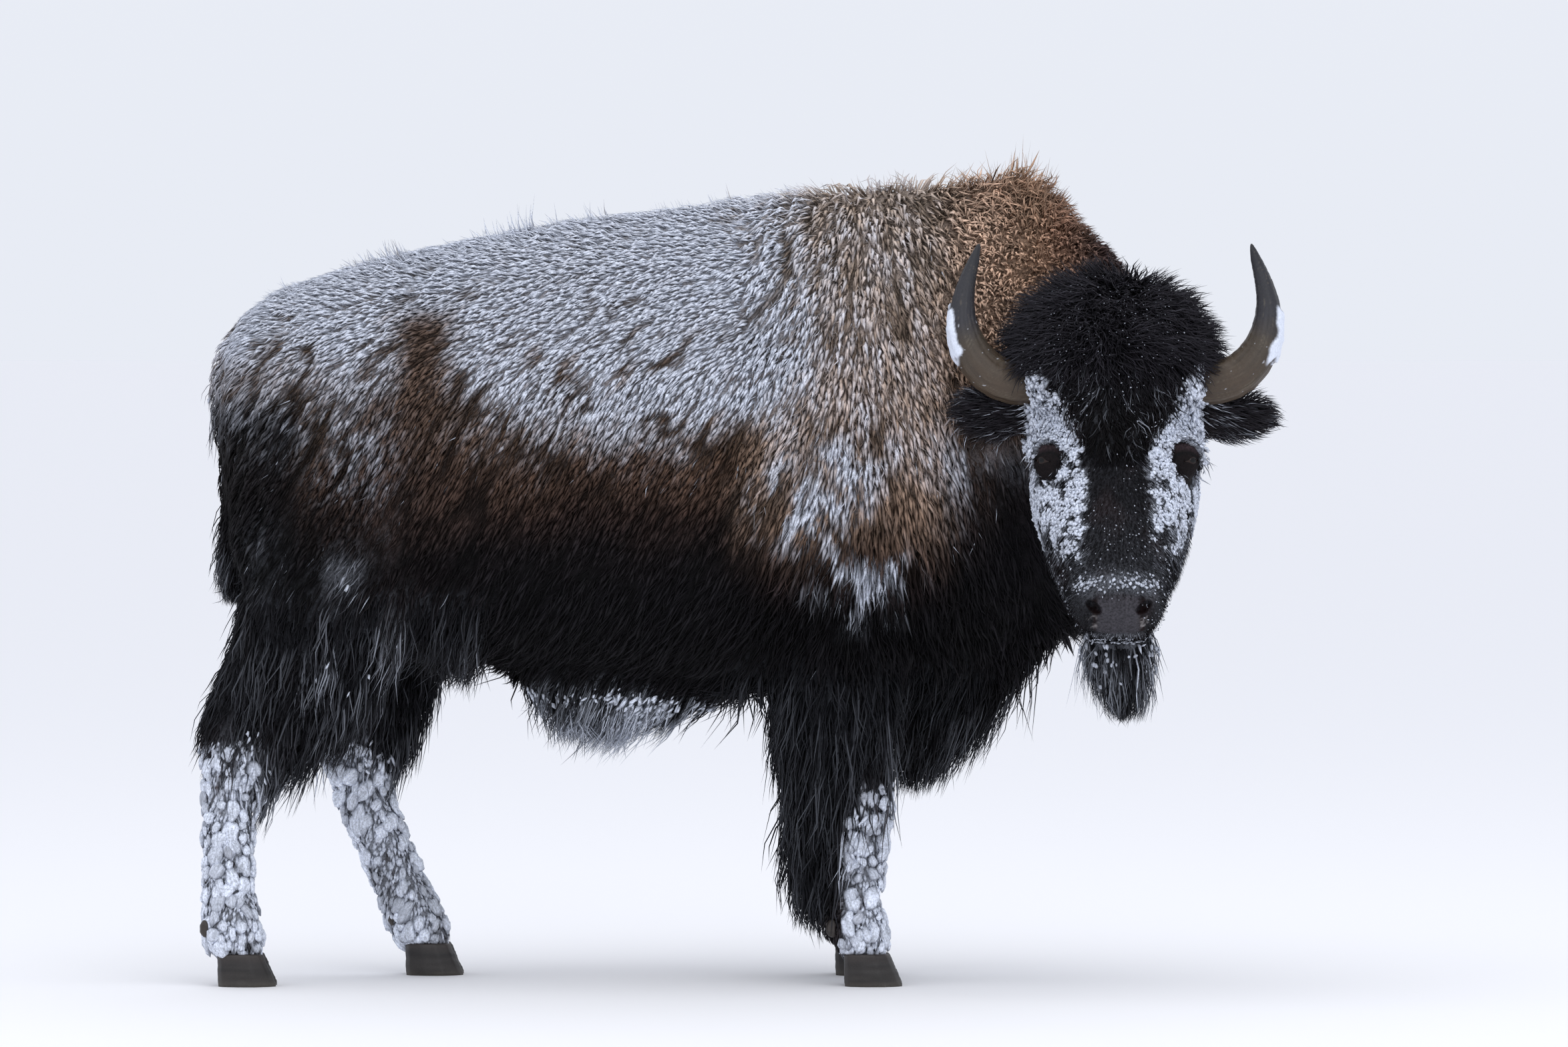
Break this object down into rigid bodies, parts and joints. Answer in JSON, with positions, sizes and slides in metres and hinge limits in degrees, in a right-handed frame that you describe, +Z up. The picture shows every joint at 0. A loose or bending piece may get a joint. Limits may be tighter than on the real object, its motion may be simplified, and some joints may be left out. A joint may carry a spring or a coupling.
{
  "type": "bison",
  "caption": "Life-size standing bison in shaggy winter coat, head turned to its right to face the viewer, horned, bearded, dusted with frost.",
  "frame": {"origin": "on the floor, under the middle of the bounding box", "axes": "+X the way the body faces, from rump to chest; +Y to the animal's left; +Z up. The face looks along -Y"},
  "size_m": [2.1904, 0.9964, 1.6795],
  "materials": {
    "brown_coat": "dense brown winter hair over flank and rump, frosted grey-white on the upper side",
    "tan_coat": "long woolly tan hair of the cape over hump, shoulders and neck",
    "black_coat": "long near-black hair of head, mop, beard, legs, belly and tail, with rime on face and shanks",
    "horn": "olive-grey horn with lengthwise grain, darker and smoother towards the tip",
    "eye": "wet, very dark brown eye",
    "hoof": "dark horn of hooves and dewclaws"
  },
  "bodies": {
    "root": {"barrel": "brown_coat", "beard": "black_coat", "belly_hair": "black_coat", "brisket_hair": "black_coat", "crown_hair": "black_coat", "dewclaw_fore_left_inner": "hoof", "dewclaw_fore_left_outer": "hoof", "dewclaw_fore_right_inner": "hoof", "dewclaw_fore_right_outer": "hoof", "dewclaw_hind_left_inner": "hoof", "dewclaw_hind_left_outer": "hoof", "dewclaw_hind_right_inner": "hoof", "dewclaw_hind_right_outer": "hoof", "ear_left": "black_coat", "ear_right": "black_coat", "eye_left": "eye", "eye_right": "eye", "fore_hair_left": "black_coat", "fore_hair_right": "black_coat", "foreleg_left": "black_coat", "foreleg_right": "black_coat", "head": "black_coat", "hind_hair_left": "black_coat", "hind_hair_right": "black_coat", "hind_leg_left": "black_coat", "hind_leg_right": "black_coat", "hindquarters": "brown_coat", "hoof_fore_left_inner": "hoof", "hoof_fore_left_outer": "hoof", "hoof_fore_right_inner": "hoof", "hoof_fore_right_outer": "hoof", "hoof_hind_left_inner": "hoof", "hoof_hind_left_outer": "hoof", "hoof_hind_right_inner": "hoof", "hoof_hind_right_outer": "hoof", "horn_left": "horn", "horn_right": "horn", "neck": "tan_coat", "shoulders": "tan_coat", "tail": "black_coat"}
  },
  "joints": []
}
